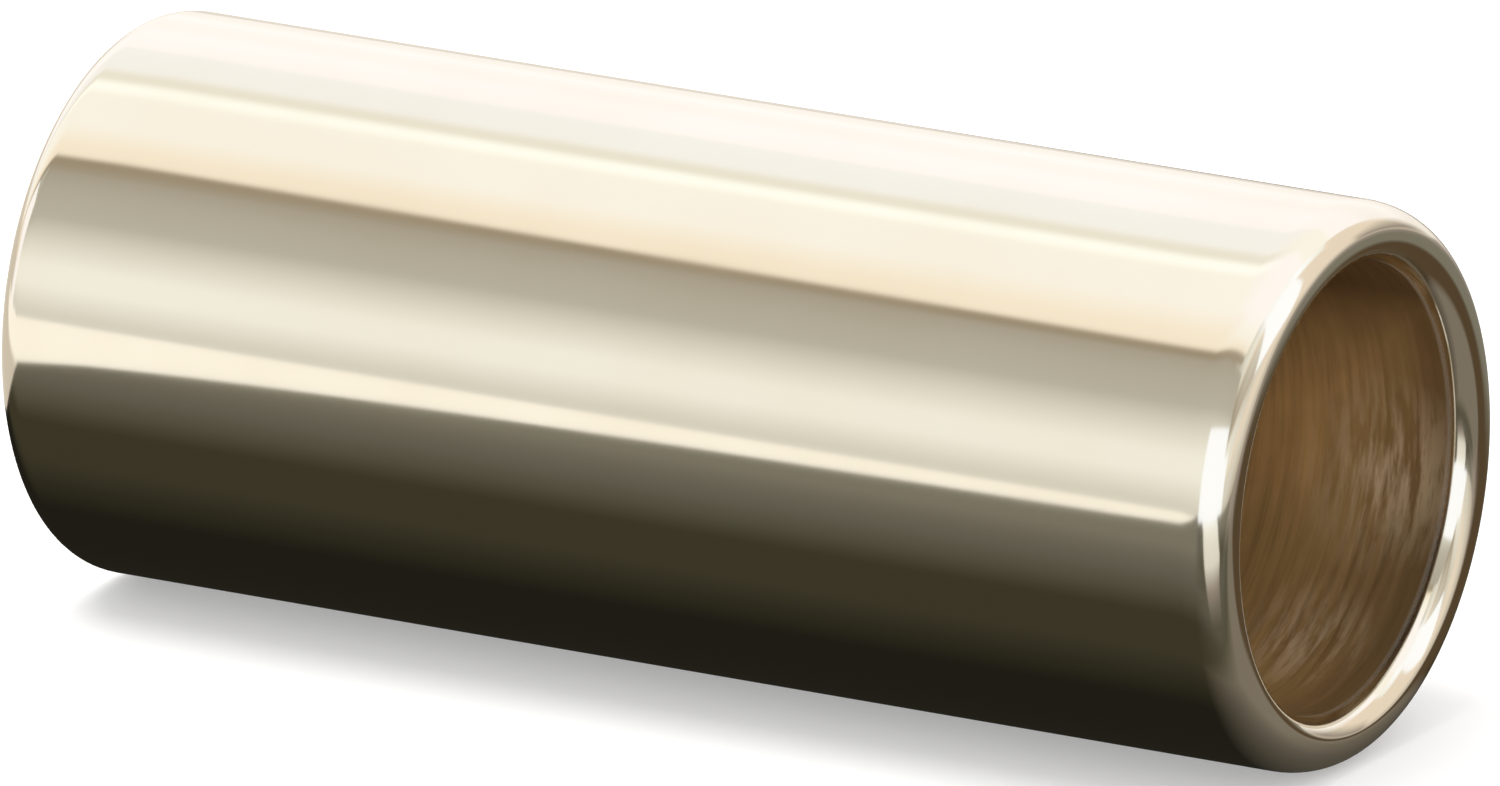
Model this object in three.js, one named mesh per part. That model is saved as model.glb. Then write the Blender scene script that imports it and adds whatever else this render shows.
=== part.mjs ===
// A guitar slide: one seamless metal tube worn on a finger and drawn along the strings.
// It is open at both ends, and every edge is rounded over and polished, so that it can't snag.
//
// Units are millimetres, +Z is up. The tube lies along X, with its origin at the middle of the bore.
// The part is turned from one piece, so it is one mesh. The plating is too thin to have a shape.

import * as THREE from "three";

// Driving dimensions
const LENGTH = 54; // from end face to end face
const OUTER_DIAMETER = 22;
const BORE_DIAMETER = 17.5; // the finger hole, which runs right through

// The rounded edges are quarter ellipses. Depth is how much of the wall one takes, and length is how
// far it runs along the tube. The front end, at +X, is rounded over more on the outside than the rear.
const FRONT_EDGE = { depth: 1.1, length: 1.8 };
const REAR_EDGE = { depth: 0.8, length: 1.1 };
const BORE_EDGE = { depth: 0.95, length: 1.2 }; // the same at both ends

// How finely the round surfaces are cut
const FLATS_AROUND = 64; // a multiple of 4 puts one flat square to each of +Y, -Y, +Z and -Z
const EDGE_STEPS = 6; // straight steps across each rounded edge

// What depends on the driving dimensions
const OUTER_RADIUS = OUTER_DIAMETER / 2;
const BORE_RADIUS = BORE_DIAMETER / 2;
const HALF_LENGTH = LENGTH / 2;
const HALF_FLAT_ANGLE = Math.PI / FLATS_AROUND;
const QUARTER_TURN = Math.PI / 2;

// The flats touch the true cylinders at their middles, so their corners lie this much further out.
const CORNER_STRETCH = 1 / Math.cos(HALF_FLAT_ANGLE);

const NICKEL_PLATE = new THREE.MeshStandardMaterial({
  color: 0xd9d2c2,
  roughness: 0.1,
  metalness: 1,
});

// A rounded edge in the half plane of the profile, as points from startAngle on, anticlockwise.
// The first coordinate is the distance from the tube's axis, the second the distance along it.
function roundedEdge(edge, centreRadius, centreAlong, startAngle) {
  const points = [];
  for (let step = 0; step <= EDGE_STEPS; step += 1) {
    const angle = startAngle + (step / EDGE_STEPS) * QUARTER_TURN;
    const radius = centreRadius + edge.depth * Math.cos(angle);
    const along = centreAlong + edge.length * Math.sin(angle);
    points.push(new THREE.Vector2(radius, along));
  }
  return points;
}

// The wall's section, anticlockwise from the outside of one end, and closed on its first point.
function wallProfile() {
  const frontCentre = OUTER_RADIUS - FRONT_EDGE.depth;
  const rearCentre = OUTER_RADIUS - REAR_EDGE.depth;
  const boreCentre = BORE_RADIUS + BORE_EDGE.depth;
  const frontAlong = HALF_LENGTH - FRONT_EDGE.length;
  const rearAlong = HALF_LENGTH - REAR_EDGE.length;
  const boreAlong = HALF_LENGTH - BORE_EDGE.length;
  const points = [
    ...roundedEdge(FRONT_EDGE, frontCentre, frontAlong, 0),
    ...roundedEdge(BORE_EDGE, boreCentre, boreAlong, QUARTER_TURN),
    ...roundedEdge(BORE_EDGE, boreCentre, -boreAlong, 2 * QUARTER_TURN),
    ...roundedEdge(REAR_EDGE, rearCentre, -rearAlong, 3 * QUARTER_TURN),
  ];
  points.push(points[0].clone());
  return points;
}

// The whole tube, turned from the section about its own axis and laid along X.
function slideTube() {
  const profile = wallProfile();
  profile.forEach((point) => point.setX(point.x * CORNER_STRETCH));
  const geometry = new THREE.LatheGeometry(profile, FLATS_AROUND, HALF_FLAT_ANGLE);
  const tube = new THREE.Mesh(geometry, NICKEL_PLATE);
  tube.name = "slide_tube";
  tube.rotation.z = -QUARTER_TURN;
  return tube;
}

const slide = new THREE.Group();
slide.add(slideTube());

export default slide;
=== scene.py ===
import math

import bmesh
import bpy
from mathutils import Matrix, Vector


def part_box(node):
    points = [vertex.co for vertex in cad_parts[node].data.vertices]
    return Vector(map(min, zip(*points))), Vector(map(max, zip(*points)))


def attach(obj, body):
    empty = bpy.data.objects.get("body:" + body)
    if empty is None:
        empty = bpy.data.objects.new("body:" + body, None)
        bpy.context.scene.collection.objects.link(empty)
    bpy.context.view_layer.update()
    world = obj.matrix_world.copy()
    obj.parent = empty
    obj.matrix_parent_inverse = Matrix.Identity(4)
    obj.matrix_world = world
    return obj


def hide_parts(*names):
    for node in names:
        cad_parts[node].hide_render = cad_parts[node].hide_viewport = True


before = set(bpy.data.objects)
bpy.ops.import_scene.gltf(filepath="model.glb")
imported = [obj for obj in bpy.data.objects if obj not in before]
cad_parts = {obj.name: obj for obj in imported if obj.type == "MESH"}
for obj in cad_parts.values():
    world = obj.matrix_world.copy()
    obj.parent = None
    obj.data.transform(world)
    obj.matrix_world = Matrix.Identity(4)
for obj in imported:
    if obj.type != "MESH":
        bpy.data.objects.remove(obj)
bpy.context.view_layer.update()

# ---------------------------------------------------------------- sizes, in metres

MM = 0.001
low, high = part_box("slide_tube")
HALF_LENGTH = (high.x - low.x) / 2
OUTER_RADIUS = (high.z - low.z) / 2
BORE_RADIUS = 8.75 * MM
FLOOR_HEIGHT = low.z

# The rounded edges are quarter ellipses: how far they run along the tube, and into the wall
FRONT_EDGE = (1.8 * MM, 1.1 * MM)
REAR_EDGE = (1.1 * MM, 0.8 * MM)
BORE_EDGE = (1.2 * MM, 0.95 * MM)

# How finely the tube is cut
STEPS_AROUND = 160
EDGE_STEPS = 14
BODY_RING_GAP = 3.0 * MM
BORE_RING_GAP = 0.12 * MM

# The tool marks in the bore: each wave is a pitch, a depth and a phase
TOOL_MARKS = (
    (0.93 * MM, 0.0032 * MM, 0.4),
    (0.61 * MM, 0.0028 * MM, 2.1),
    (0.41 * MM, 0.0022 * MM, 5.0),
    (2.70 * MM, 0.0040 * MM, 1.3),
)
MARKS_FADE = 0.8 * MM  # over this length they fade out towards the rounded edges

# Where the plating gives way to bare metal, measured in from the end faces
PLATE_END_DEPTH = 1.05 * MM
PLATE_FADE = 0.25 * MM


# ---------------------------------------------------------------- the tube's mesh


def edge_arc(centre_along, centre_radius, edge, start_angle):
    """A rounded edge as (along, radius) points, from start_angle on."""
    length, depth = edge
    points = []
    for step in range(EDGE_STEPS + 1):
        angle = start_angle + math.pi / 2 * step / EDGE_STEPS
        along = centre_along + length * math.sin(angle)
        radius = centre_radius + depth * math.cos(angle)
        points.append((along, radius))
    return points


def straight_run(start_along, end_along, radius, gap):
    """The rings between two ends of a straight stretch, without the ends themselves."""
    count = max(1, round(abs(end_along - start_along) / gap))
    span = end_along - start_along
    return [(start_along + span * i / count, radius) for i in range(1, count)]


def tool_mark_depth(along):
    """How far the bore's surface is turned away at this place."""
    depth = sum(
        size * (1 + math.sin(2 * math.pi * along / pitch + phase)) / 2
        for pitch, size, phase in TOOL_MARKS
    )
    bore_end = HALF_LENGTH - BORE_EDGE[0]
    fade = min(1.0, max(0.0, (bore_end - abs(along)) / MARKS_FADE))
    return depth * fade


def wall_profile():
    """The wall's section as (along, radius), from the outside of the +X end round to its start."""
    front_along = HALF_LENGTH - FRONT_EDGE[0]
    front_centre = OUTER_RADIUS - FRONT_EDGE[1]
    rear_along = HALF_LENGTH - REAR_EDGE[0]
    rear_centre = OUTER_RADIUS - REAR_EDGE[1]
    bore_along = HALF_LENGTH - BORE_EDGE[0]
    bore_centre = BORE_RADIUS + BORE_EDGE[1]
    quarter = math.pi / 2
    bore = straight_run(bore_along, -bore_along, BORE_RADIUS, BORE_RING_GAP)
    return [
        *edge_arc(front_along, front_centre, FRONT_EDGE, 0),
        *edge_arc(bore_along, bore_centre, BORE_EDGE, quarter),
        *[(along, radius + tool_mark_depth(along)) for along, radius in bore],
        *edge_arc(-bore_along, bore_centre, BORE_EDGE, 2 * quarter),
        *edge_arc(-rear_along, rear_centre, REAR_EDGE, 3 * quarter),
        *straight_run(-rear_along, front_along, OUTER_RADIUS, BODY_RING_GAP),
    ]


def bareness(along, radius):
    """1 on the bore's bare metal, 0 on the plating, with a short fade between them."""
    if radius > BORE_RADIUS + BORE_EDGE[1]:
        return 0.0
    depth = HALF_LENGTH - abs(along)
    return min(1.0, max(0.0, (depth - PLATE_END_DEPTH) / PLATE_FADE + 0.5))


def turn_tube(name):
    """The tube as one closed mesh, turned about X, with its bare metal marked."""
    profile = wall_profile()
    turned = bmesh.new()
    bare = turned.verts.layers.float.new("bare_metal")
    rings = []
    for along, radius in profile:
        ring = []
        for step in range(STEPS_AROUND):
            angle = 2 * math.pi * step / STEPS_AROUND
            place = (along, radius * math.cos(angle), radius * math.sin(angle))
            vertex = turned.verts.new(place)
            vertex[bare] = bareness(along, radius)
            ring.append(vertex)
        rings.append(ring)
    for index, ring in enumerate(rings):
        after = rings[(index + 1) % len(rings)]
        for step in range(STEPS_AROUND):
            beside = (step + 1) % STEPS_AROUND
            face = turned.faces.new((ring[step], after[step], after[beside], ring[beside]))
            face.smooth = True
    bmesh.ops.recalc_face_normals(turned, faces=turned.faces)
    mesh = bpy.data.meshes.new(name)
    turned.to_mesh(mesh)
    turned.free()
    piece = bpy.data.objects.new(name, mesh)
    bpy.context.scene.collection.objects.link(piece)
    return piece


# ---------------------------------------------------------------- materials


class Nodes:
    """A short way to add and link shader nodes."""

    def __init__(self, tree):
        self.tree = tree
        self.tree.nodes.clear()

    def add(self, kind, **inputs):
        node = self.tree.nodes.new(kind)
        for socket, value in inputs.items():
            self.feed(node.inputs[socket.replace("_", " ")], value)
        return node

    def feed(self, socket, value):
        if isinstance(value, bpy.types.NodeSocket):
            self.tree.links.new(value, socket)
        else:
            socket.default_value = value

    def math(self, operation, first, second=0.0, third=0.0):
        node = self.tree.nodes.new("ShaderNodeMath")
        node.operation = operation
        for socket, value in zip(node.inputs, (first, second, third)):
            self.feed(socket, value)
        return node.outputs[0]

    def remap(self, value, from_low, from_high, to_low, to_high):
        node = self.tree.nodes.new("ShaderNodeMapRange")
        for socket, number in zip(node.inputs, (value, from_low, from_high, to_low, to_high)):
            self.feed(socket, number)
        return node.outputs[0]

    def rising(self, value, stretch):
        """From 0 at the stretch's start to its full strength at its end."""
        start, end, full = stretch
        return self.remap(value, start, end, 0, full)

    def mix_colour(self, share, first, second):
        node = self.tree.nodes.new("ShaderNodeMix")
        node.data_type = "RGBA"
        self.feed(node.inputs[0], share)
        self.feed(node.inputs[6], first)
        self.feed(node.inputs[7], second)
        return node.outputs[2]

    def mix_number(self, share, first, second):
        node = self.tree.nodes.new("ShaderNodeMix")
        self.feed(node.inputs[0], share)
        self.feed(node.inputs[2], first)
        self.feed(node.inputs[3], second)
        return node.outputs[0]

    def noise(self, place, scale, detail=2.0, roughness=0.5):
        node = self.add(
            "ShaderNodeTexNoise", Vector=place, Scale=scale, Detail=detail, Roughness=roughness
        )
        return node.outputs[0]

    def distance(self, place, other):
        node = self.tree.nodes.new("ShaderNodeVectorMath")
        node.operation = "DISTANCE"
        self.feed(node.inputs[0], place)
        node.inputs[1].default_value = other
        return node.outputs[1]

    def along(self, place):
        return self.add("ShaderNodeSeparateXYZ", Vector=place).outputs["X"]

    def height(self, place):
        return self.add("ShaderNodeSeparateXYZ", Vector=place).outputs["Z"]

    def turned_marks(self, place, marks, detail=2.0, roughness=0.5):
        """Noise that is drawn out around the tube, as the marks of turning are."""
        repeats, share_around = marks
        squeezed = self.tree.nodes.new("ShaderNodeVectorMath")
        squeezed.operation = "MULTIPLY"
        self.feed(squeezed.inputs[0], place)
        squeezed.inputs[1].default_value = (1, share_around, share_around)
        return self.noise(squeezed.outputs[0], repeats, detail, roughness)


PLATE_COLOUR = (0.725, 0.675, 0.575, 1)
PLATE_TARNISH = (0.71, 0.655, 0.55, 1)
BARE_COLOUR = (0.82, 0.53, 0.22, 1)
BARE_DARK = (0.54, 0.34, 0.135, 1)
# The bore's lighter colour for its painted highlights
BARE_HIGHLIGHT = (0.95, 0.76, 0.5, 1)
# The bore's dark brown: painted shade towards its top, and darker near its ends
BARE_DARKENED = (0.11, 0.06, 0.022, 1)

# How rough each metal is, from where it is smoothest to where it is roughest
PLATE_ROUGHNESS = (0.085, 0.11)
BARE_ROUGHNESS = (0.34, 0.5)

# How finely each pattern is drawn, in repeats to the metre along the tube, and what share of
# that it has around the tube
CLOUDS = 140.0
BUFFING_MARKS = (14000.0, 0.03)
BORING_MARKS = (3200.0, 0.04)
BLOTCHES = (420.0, 0.5)
SCRATCHES = (2600.0, 0.16)

# The bore's darkening, painted shade towards its top and darker near its ends: where it sets in, where
# it is full, and how strong it gets
TOP_SHADE_PAINTED = (0, 6 * MM, 0.97)  # by height over the tube's axis
RIM_DARKENING = (20 * MM, 25.5 * MM, 0.82)  # by distance from the tube's middle

# Painted highlights on the bore's wall near its +X end, broken up by scratches: the middle of each
# patch, and how far it reaches
HIGHLIGHT_PATCHES = (
    (Vector((23.2, 8.5, -2.0)) * MM, 4.2 * MM),
    (Vector((22.0, 3.9, -7.8)) * MM, 3.4 * MM),
)
HIGHLIGHT_STRENGTH = 0.75

BARE_DULLNESS = 0.5  # how much less metallic the tarnished bare metal looks than the plating
BUFFING_RELIEF = 0.05  # against the boring marks' relief of 1
MARK_DEPTH = 0.01 * MM
MARK_STRENGTH = 0.5


def slide_metal():
    """Polished nickel plating outside and over the lips, and bare machined metal in the bore."""
    material = bpy.data.materials.new("slide_metal")
    material.use_nodes = True
    n = Nodes(material.node_tree)
    place = n.add("ShaderNodeTexCoord").outputs["Object"]
    bare = n.add("ShaderNodeAttribute")
    bare.attribute_name = "bare_metal"
    bare = bare.outputs["Fac"]

    # Plating: faint warm clouds, and the finest rings that buffing leaves
    clouds = n.noise(place, CLOUDS, 3.0)
    plate_colour = n.mix_colour(n.remap(clouds, 0.35, 0.7, 0, 1), PLATE_COLOUR, PLATE_TARNISH)
    buffing = n.turned_marks(place, BUFFING_MARKS)
    plate_rough = n.remap(clouds, 0.3, 0.7, *PLATE_ROUGHNESS)

    # Bore: rings left by the boring tool, streaked and uneven
    ring_marks = n.turned_marks(place, BORING_MARKS, 4.0, 0.65)
    blotches = n.turned_marks(place, BLOTCHES, 4.0)
    streaks = n.remap(n.math("ADD", ring_marks, n.math("MULTIPLY", blotches, 0.9)), 0.7, 1.2, 0, 1)
    bare_colour = n.mix_colour(streaks, BARE_DARK, BARE_COLOUR)
    bare_rough = n.remap(ring_marks, 0.3, 0.7, *BARE_ROUGHNESS)

    # Bore: painted shade darkens it towards the top, it is darker near the ends, and painted
    # highlights make lighter scratched patches
    # Painted shade: the bore darkens with height over the axis, and it is also darker near the ends
    top_shade = n.rising(n.height(place), TOP_SHADE_PAINTED)
    rim_darkening = n.rising(n.math("ABSOLUTE", n.along(place)), RIM_DARKENING)
    darkened = n.math("MAXIMUM", top_shade, rim_darkening)
    bare_colour = n.mix_colour(darkened, bare_colour, BARE_DARKENED)
    scratches = n.turned_marks(place, SCRATCHES, 3.0, 0.6)
    # Painted highlights: lighter patches on the bore's wall near its open end, broken up by scratches
    for middle, reach in HIGHLIGHT_PATCHES:
        lit_patch = n.remap(n.distance(place, middle), 0, reach, HIGHLIGHT_STRENGTH, 0)
        lit_patch = n.math("MULTIPLY", lit_patch, n.remap(scratches, 0.42, 0.62, 0, 1))
        bare_colour = n.mix_colour(lit_patch, bare_colour, BARE_HIGHLIGHT)

    colour = n.mix_colour(bare, plate_colour, bare_colour)
    rough = n.mix_number(bare, plate_rough, bare_rough)
    metallic = n.math("SUBTRACT", 1.0, n.math("MULTIPLY", bare, BARE_DULLNESS))
    grain = n.mix_number(bare, n.math("MULTIPLY", buffing, BUFFING_RELIEF), ring_marks)
    bump = n.add("ShaderNodeBump", Strength=MARK_STRENGTH, Distance=MARK_DEPTH, Height=grain)
    shader = n.add(
        "ShaderNodeBsdfPrincipled",
        Base_Color=colour,
        Roughness=rough,
        Metallic=metallic,
        Normal=bump.outputs[0],
    )
    n.add("ShaderNodeOutputMaterial", Surface=shader.outputs[0])
    return material


# ---------------------------------------------------------------- the studio


def only_in_reflections(obj):
    """The panel lights nothing but the metal: it shows only in reflections."""
    obj.visible_camera = False
    obj.visible_diffuse = False
    obj.visible_shadow = False
    obj.visible_transmission = False
    obj.visible_volume_scatter = False


def glow():
    """Shines with the panel's own painted colours."""
    material = bpy.data.materials.get("panel_glow")
    if material is None:
        material = bpy.data.materials.new("panel_glow")
        material.use_nodes = True
        n = Nodes(material.node_tree)
        paint = n.add("ShaderNodeAttribute")
        paint.attribute_name = "paint"
        shine = n.add("ShaderNodeEmission", Color=paint.outputs["Color"])
        n.add("ShaderNodeOutputMaterial", Surface=shine.outputs[0])
    return material


def panel(name, rows):
    """A panel between rows of (place, colour) points. It shines with the colours between them."""
    mesh = bpy.data.meshes.new(name)
    points = [point for row in rows for point in row]
    width = len(rows[0])
    faces = [
        (start, start + 1, start + 1 + width, start + width)
        for start in range(len(points) - width)
        if (start + 1) % width
    ]
    mesh.from_pydata([Vector(place) * MM for place, colour in points], [], faces)
    paint = mesh.color_attributes.new("paint", "FLOAT_COLOR", "POINT")
    for index, (place, colour) in enumerate(points):
        paint.data[index].color = (*colour, 1)
    mesh.materials.append(glow())
    obj = bpy.data.objects.new(name, mesh)
    bpy.context.scene.collection.objects.link(obj)
    only_in_reflections(obj)


def even(start, end, colour):
    """A row of one colour from start to end, in millimetres."""
    return [(start, colour), (end, colour)]


def across(y, z, *stops):
    """A row along X, in millimetres, with a colour at each stop."""
    return [((x, y, z), colour) for x, colour in stops]


def across_y(x, z, *stops):
    """A row along Y, in millimetres, with a colour at each stop."""
    return [((x, y, z), colour) for y, colour in stops]


# The colours of the panels, brighter than 1 where they are lights
DAYLIGHT = (1.37, 1.46, 1.64)
WHITE = (1.37, 1.37, 1.47)
PAPER = (1.25, 1.29, 1.36)
CREAM = (1.32, 1.32, 1.3)
WARM = (1.28, 1.19, 1.05)
BRIGHT_LINE = (1.42, 1.48, 1.5)
DULL_LINE = (1.12, 1.11, 1.03)
STRIP = (1.37, 1.35, 1.29)
FAR_PAPER = (1.3, 1.29, 1.33)
LOW_PAPER = (1.16, 1.12, 1.08)
PALE = (1.21, 1.24, 1.21)
BEIGE = (0.98, 0.99, 0.94)
HORIZON = (0.92, 0.92, 0.87)
OLIVE = (0.65, 0.64, 0.58)
SOFT_OLIVE = (0.6, 0.58, 0.52)
UMBER = (0.53, 0.5, 0.44)
BROWN = (0.47, 0.41, 0.32)
DARK_LINE = (0.38, 0.32, 0.23)
ROSE = (1.1, 0.98, 0.86)
DUSK = (0.72, 0.66, 0.57)
SHADE = (0.85, 0.79, 0.71)
BENCH_FAR = (0.26, 0.25, 0.21)
BENCH = (0.2, 0.19, 0.16)
BENCH_MID = (0.155, 0.15, 0.12)
BENCH_DIM = (0.115, 0.11, 0.08)
# The painted shadow of the tube on the bench, darkest right under it
TUBE_SHADOW_EDGE = (0.06, 0.055, 0.034)
TUBE_SHADOW = (0.018, 0.017, 0.012)
BENCH_NEAR = (0.27, 0.24, 0.2)
BENCH_BROWN = (0.115, 0.08, 0.045)
GREY = (0.22, 0.21, 0.2)
MIST = (0.42, 0.37, 0.34)


# Where the studio's walls and ceilings stand, and where the bench ends, in millimetres
FRONT_WALL = -300
FRONT_WALL_END = -520  # its left end
REAR_WALL = 400
LEFT_WALL = -590
RIGHT_WALL = 300
WALL_FOOT = -12  # just under the bench top
SOFTBOX_HEIGHT = 100
HIGH_CEILING = 480
BENCH_END = -47
PAPER_END = -700  # the left end of the paper beside the bench

# The windows stand a little before their walls
WINDOW_FOOT = -11
FRONT_WINDOW = FRONT_WALL + 2
RIGHT_WINDOW = RIGHT_WALL - 2
WINDOW_RETURN = -220  # where the front window ends, once it has turned the corner


def front_panels():
    """The wall before the tube, with a bright window on its right that turns the corner."""

    def wall(z, colour):
        return even((FRONT_WALL_END, FRONT_WALL, z), (RIGHT_WALL, FRONT_WALL, z), colour)

    def corner(z):
        return (RIGHT_WINDOW, FRONT_WINDOW, z)

    panel(
        "front_wall",
        [
            wall(0, HORIZON),
            wall(16, HORIZON),
            wall(75, PALE),
            wall(120, PALE),
            wall(180, BEIGE),
            wall(265, OLIVE),
            wall(400, SOFT_OLIVE),
            wall(530, UMBER),
            wall(600, BROWN),
            wall(720, BROWN),
        ],
    )
    panel(
        "window",
        [
            even((30, FRONT_WINDOW, WINDOW_FOOT), corner(WINDOW_FOOT), DAYLIGHT),
            even((22, FRONT_WINDOW, 195), corner(220), DAYLIGHT),
        ],
    )
    panel(
        "window_return",
        [
            even(corner(WINDOW_FOOT), (RIGHT_WINDOW, WINDOW_RETURN, WINDOW_FOOT), DAYLIGHT),
            even(corner(130), (RIGHT_WINDOW, WINDOW_RETURN, 110), DAYLIGHT),
        ],
    )


def overhead_panels():
    """The broad light overhead, banded on the left and even on the right."""

    def askew(left_y, right_y, left, right):
        """A row at left_y where the tube's far end mirrors it, and right_y where its near end does."""
        return [
            ((-600, left_y, SOFTBOX_HEIGHT), left),
            ((-78, left_y, SOFTBOX_HEIGHT), left),
            ((-26, right_y, SOFTBOX_HEIGHT), left),
            ((20, right_y, SOFTBOX_HEIGHT), right),
            ((62, right_y, SOFTBOX_HEIGHT), right),
        ]

    def ceiling(y, left, right):
        return askew(y, y, left, right)

    panel(
        "softbox",
        [
            askew(-52.5, -60, BROWN, BROWN),
            askew(-46, -53.2, DARK_LINE, BROWN),
            askew(-42, -49.2, WARM, WARM),
            askew(-33, -38, WARM, CREAM),
            ceiling(-16, CREAM, WHITE),
            ceiling(12, CREAM, WHITE),
            ceiling(18, BRIGHT_LINE, WHITE),
            ceiling(23, BRIGHT_LINE, WHITE),
            ceiling(29, DULL_LINE, WHITE),
            ceiling(34, DULL_LINE, WHITE),
            ceiling(42, PAPER, CREAM),
            ceiling(76, PAPER, CREAM),
            ceiling(80, WHITE, WHITE),
            ceiling(130, WHITE, WHITE),
            ceiling(200, FAR_PAPER, FAR_PAPER),
            ceiling(400, FAR_PAPER, FAR_PAPER),
        ],
    )


def rear_panels():
    """White paper behind the tube, in shade at the far left, and a rosy wall on its right."""

    def wall(z, left, right):
        shaded = ((-600, SHADE), (-420, SHADE))
        return across(REAR_WALL, z, *shaded, (-340, left), (40, left), (140, right), (300, right))

    panel(
        "rear_wall",
        [
            wall(WALL_FOOT, LOW_PAPER, DUSK),
            wall(30, LOW_PAPER, MIST),
            wall(90, FAR_PAPER, DUSK),
            wall(170, WHITE, ROSE),
            wall(400, WHITE, ROSE),
            wall(720, WHITE, WARM),
        ],
    )


def right_panels():
    """The wall past the tube's near end, with a high window, and the bright ceiling over it."""

    def wall(z, front, middle, back):
        stops = ((FRONT_WALL, front), (-60, middle), (150, back), (REAR_WALL, back))
        return across_y(RIGHT_WALL, z, *stops)

    def ceiling(y, left, right):
        return across(y, HIGH_CEILING, (60, left), (RIGHT_WALL, right))

    panel(
        "right_wall",
        [
            wall(WALL_FOOT, HORIZON, DUSK, DUSK),
            wall(30, HORIZON, HORIZON, SHADE),
            wall(75, PALE, ROSE, ROSE),
            wall(130, PALE, HORIZON, ROSE),
            wall(190, BROWN, DUSK, ROSE),
            wall(300, BROWN, HORIZON, ROSE),
            wall(400, BEIGE, ROSE, ROSE),
            wall(HIGH_CEILING, BEIGE, PALE, PALE),
        ],
    )
    panel(
        "high_window",
        [
            even((RIGHT_WINDOW, -45, 170), (RIGHT_WINDOW, 160, 78), DAYLIGHT),
            even((RIGHT_WINDOW, -60, HIGH_CEILING), (RIGHT_WINDOW, 170, HIGH_CEILING), DAYLIGHT),
        ],
    )
    panel(
        "high_ceiling",
        [
            ceiling(FRONT_WALL, BROWN, BEIGE),
            ceiling(-120, BROWN, PALE),
            ceiling(-60, PALE, DAYLIGHT),
            ceiling(170, DAYLIGHT, DAYLIGHT),
            ceiling(REAR_WALL, PALE, PALE),
        ],
    )


def left_panels():
    """The wall past the tube's far end, white, and shaded low down towards the back."""

    def wall(z, shaded):
        stops = ((-600, WHITE), (-230, WHITE), (-150, shaded), (REAR_WALL, shaded))
        return across_y(LEFT_WALL, z, *stops)

    panel(
        "left_wall",
        [
            wall(WALL_FOOT, SHADE),
            wall(60, SHADE),
            wall(110, ROSE),
            wall(200, WHITE),
            wall(400, WHITE),
        ],
    )


def bench_panels():
    """The dark bench top with a painted shadow under the tube, the window's glare on it, and the white
    paper past its left end.
    """
    bench = low.z / MM - 0.1
    glare = bench + 0.05

    def top(y, under, beside, beyond):
        """A row across the bench: under the tube, beside its near end, and further out."""
        near = ((BENCH_END, under), (24, under), (32, beside), (70, beside))
        return across(y, bench, *near, (120, beyond), (600, beyond))

    def paper(y, z, colour):
        return even((PAPER_END, y, z), (BENCH_END, y, z), colour)

    # Under the tube the rows darken to near black: a painted shadow of the tube, fading out over about
    # 40 mm to each side
    panel(
        "bench",
        [
            top(-400, BENCH_FAR, BENCH_FAR, MIST),
            top(-60, BENCH_FAR, BENCH_MID, BENCH_FAR),
            top(-42, BENCH, BENCH_DIM, BENCH_FAR),
            top(-31, BENCH_MID, BENCH_DIM, BENCH_FAR),
            top(-25, BENCH_DIM, BENCH_MID, MIST),
            top(-20, TUBE_SHADOW_EDGE, BENCH_MID, MIST),
            top(-14, TUBE_SHADOW_EDGE, BENCH_DIM, MIST),
            top(-9, TUBE_SHADOW, BENCH_NEAR, MIST),
            top(9, TUBE_SHADOW, BENCH_NEAR, MIST),
            top(13, TUBE_SHADOW_EDGE, BENCH_BROWN, MIST),
            top(20, BENCH_DIM, BENCH_BROWN, MIST),
            top(28, BENCH_MID, BENCH_BROWN, MIST),
            top(38, BENCH, BENCH_BROWN, MIST),
            top(52, BENCH_FAR, BENCH_FAR, MIST),
            top(120, MIST, BENCH_FAR, MIST),
            top(220, SHADE, MIST, MIST),
            top(400, LOW_PAPER, MIST, DUSK),
        ],
    )
    # The glare spreads from near the tube's right end towards the window
    panel(
        "glare",
        [
            even((30, -18, glare), (35, -16, glare), BENCH_DIM),
            even((32, -28, glare), (46, -25, glare), MIST),
            even((34, -40, glare), (60, -34, glare), BEIGE),
            even((50, -130, glare), (120, -105, glare), PALE),
            even((70, -297, glare), (270, -297, glare), DAYLIGHT),
        ],
    )
    # The paper's front edge turns up, and it lies in shade from just before the tube on
    panel(
        "left_paper",
        [
            paper(-905, 2, STRIP),
            paper(-900, bench, STRIP),
            paper(-46, bench, STRIP),
            paper(-36, bench, SHADE),
            paper(600, bench, SHADE),
        ],
    )


def studio_panels():
    """Everything that the metal mirrors, short of the shell."""
    front_panels()
    overhead_panels()
    rear_panels()
    right_panels()
    left_panels()
    bench_panels()


# What lies round the panels, and the light on the floor, in metres
SHELL_RADIUS = 1.2
FLOOR_REACH = 3.0  # from its middle to each side
FLOOR_COLOUR = (0.72, 0.715, 0.71, 1)
FLOOR_GLOW = 0.36  # lifts the floor to nearly white
AIR_STRENGTH = 1.05
FLOOR_LIGHT_PLACE = (-0.15, -0.1, 0.6)
FLOOR_LIGHT_WIDTH = 0.5
FLOOR_LIGHT_POWER = 3.0


def surroundings():
    """A large shell that closes the studio round the panels, darker below."""
    mesh = bpy.data.meshes.new("surroundings")
    shell = bmesh.new()
    bmesh.ops.create_uvsphere(shell, u_segments=48, v_segments=24, radius=SHELL_RADIUS)
    shell.to_mesh(mesh)
    shell.free()
    paint = mesh.color_attributes.new("paint", "FLOAT_COLOR", "POINT")
    for index, vertex in enumerate(mesh.vertices):
        way = vertex.co.normalized()
        raised = min(1.0, max(0.0, way.z * 3 + 0.3))
        colour = Vector(GREY).lerp(Vector(OLIVE), raised)
        paint.data[index].color = (*colour, 1)
    mesh.materials.append(glow())
    obj = bpy.data.objects.new("surroundings", mesh)
    bpy.context.scene.collection.objects.link(obj)
    only_in_reflections(obj)


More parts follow.
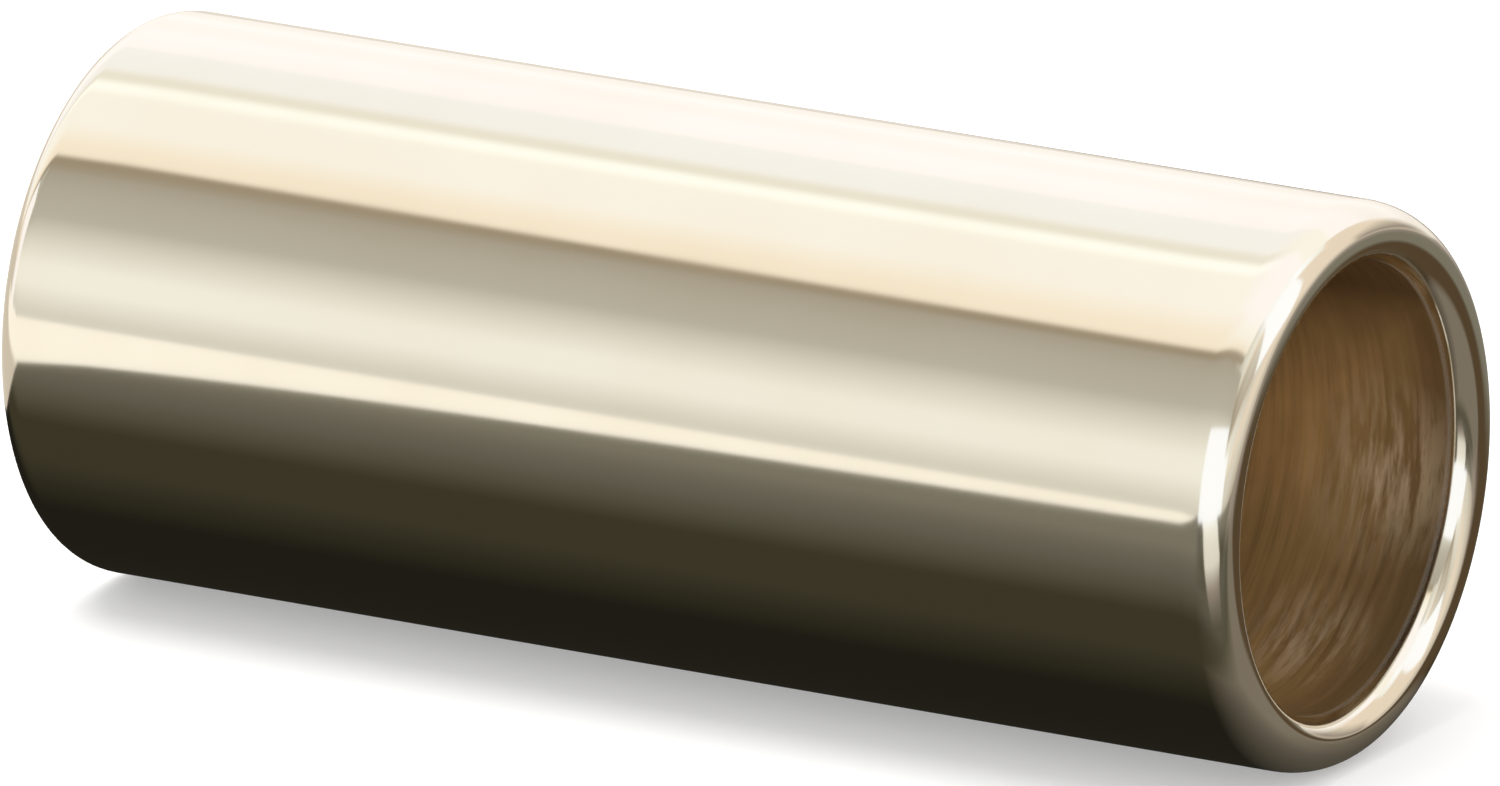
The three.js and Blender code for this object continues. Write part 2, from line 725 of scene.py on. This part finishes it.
def floor():
    """A plain pale floor, which the metal doesn't reflect, because the panels stand in for it."""
    mesh = bpy.data.meshes.new("floor")
    sides = ((-1, -1), (1, -1), (1, 1), (-1, 1))
    corners = [(x * FLOOR_REACH, y * FLOOR_REACH, FLOOR_HEIGHT) for x, y in sides]
    mesh.from_pydata(corners, [], [(0, 1, 2, 3)])
    material = bpy.data.materials.new("floor_paper")
    material.use_nodes = True
    n = Nodes(material.node_tree)
    paper = n.add("ShaderNodeBsdfDiffuse", Color=FLOOR_COLOUR)
    lift = n.add("ShaderNodeEmission", Color=(1, 1, 1, 1), Strength=FLOOR_GLOW)
    shader = n.add("ShaderNodeAddShader")
    n.feed(shader.inputs[0], paper.outputs[0])
    n.feed(shader.inputs[1], lift.outputs[0])
    n.add("ShaderNodeOutputMaterial", Surface=shader.outputs[0])
    mesh.materials.append(material)
    obj = bpy.data.objects.new("floor", mesh)
    bpy.context.scene.collection.objects.link(obj)
    obj.visible_glossy = False


def air():
    """Even white light from all round, which the shell keeps out of the metal's reflections."""
    world = bpy.data.worlds.new("studio_air")
    bpy.context.scene.world = world
    world.use_nodes = True
    n = Nodes(world.node_tree)
    light = n.add("ShaderNodeBackground", Color=(1, 1, 1, 1), Strength=AIR_STRENGTH)
    n.add("ShaderNodeOutputWorld", Surface=light.outputs[0])


def floor_light():
    """A broad soft light for the floor, which leaves no highlight on the metal."""
    data = bpy.data.lights.new("floor_light", "AREA")
    data.shape = "DISK"
    data.size = FLOOR_LIGHT_WIDTH
    data.energy = FLOOR_LIGHT_POWER
    obj = bpy.data.objects.new("floor_light", data)
    obj.location = FLOOR_LIGHT_PLACE
    obj.rotation_euler = (-obj.location).to_track_quat("-Z", "Y").to_euler()
    obj.visible_glossy = False
    bpy.context.scene.collection.objects.link(obj)


# ---------------------------------------------------------------- the camera

CAMERA_AZIMUTH = 30.0
CAMERA_ELEVATION = 16.8
CAMERA_DISTANCE = 1.2
FRAME_WIDTH = 57.43 * MM  # how much the camera takes in from side to side at the tube's middle
AIM_RIGHT = 0.19 * MM
AIM_DOWN = 0.15 * MM


def camera():
    """Looks at the tube from its front right, a little from above, with a long lens."""
    azimuth, elevation = math.radians(CAMERA_AZIMUTH), math.radians(CAMERA_ELEVATION)
    back = Vector(
        (
            math.sin(azimuth) * math.cos(elevation),
            -math.cos(azimuth) * math.cos(elevation),
            math.sin(elevation),
        )
    )
    right = Vector((math.cos(azimuth), math.sin(azimuth), 0))
    up = back.cross(right)
    data = bpy.data.cameras.new("camera")
    data.sensor_width = 36.0
    data.lens = data.sensor_width * CAMERA_DISTANCE / FRAME_WIDTH
    data.clip_start, data.clip_end = 0.01, 50.0
    obj = bpy.data.objects.new("camera", data)
    place = back * CAMERA_DISTANCE + right * AIM_RIGHT - up * AIM_DOWN
    turn = Matrix((right, up, back)).transposed().to_4x4()
    obj.matrix_world = Matrix.Translation(place) @ turn
    bpy.context.scene.collection.objects.link(obj)
    bpy.context.scene.camera = obj


# ---------------------------------------------------------------- putting it together

camera()
tube = turn_tube("slide_tube_fine")
tube.data.materials.append(slide_metal())
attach(tube, "root")
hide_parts("slide_tube")

surroundings()
studio_panels()
floor()
air()
floor_light()
bpy.context.scene.view_settings.view_transform = "Standard"
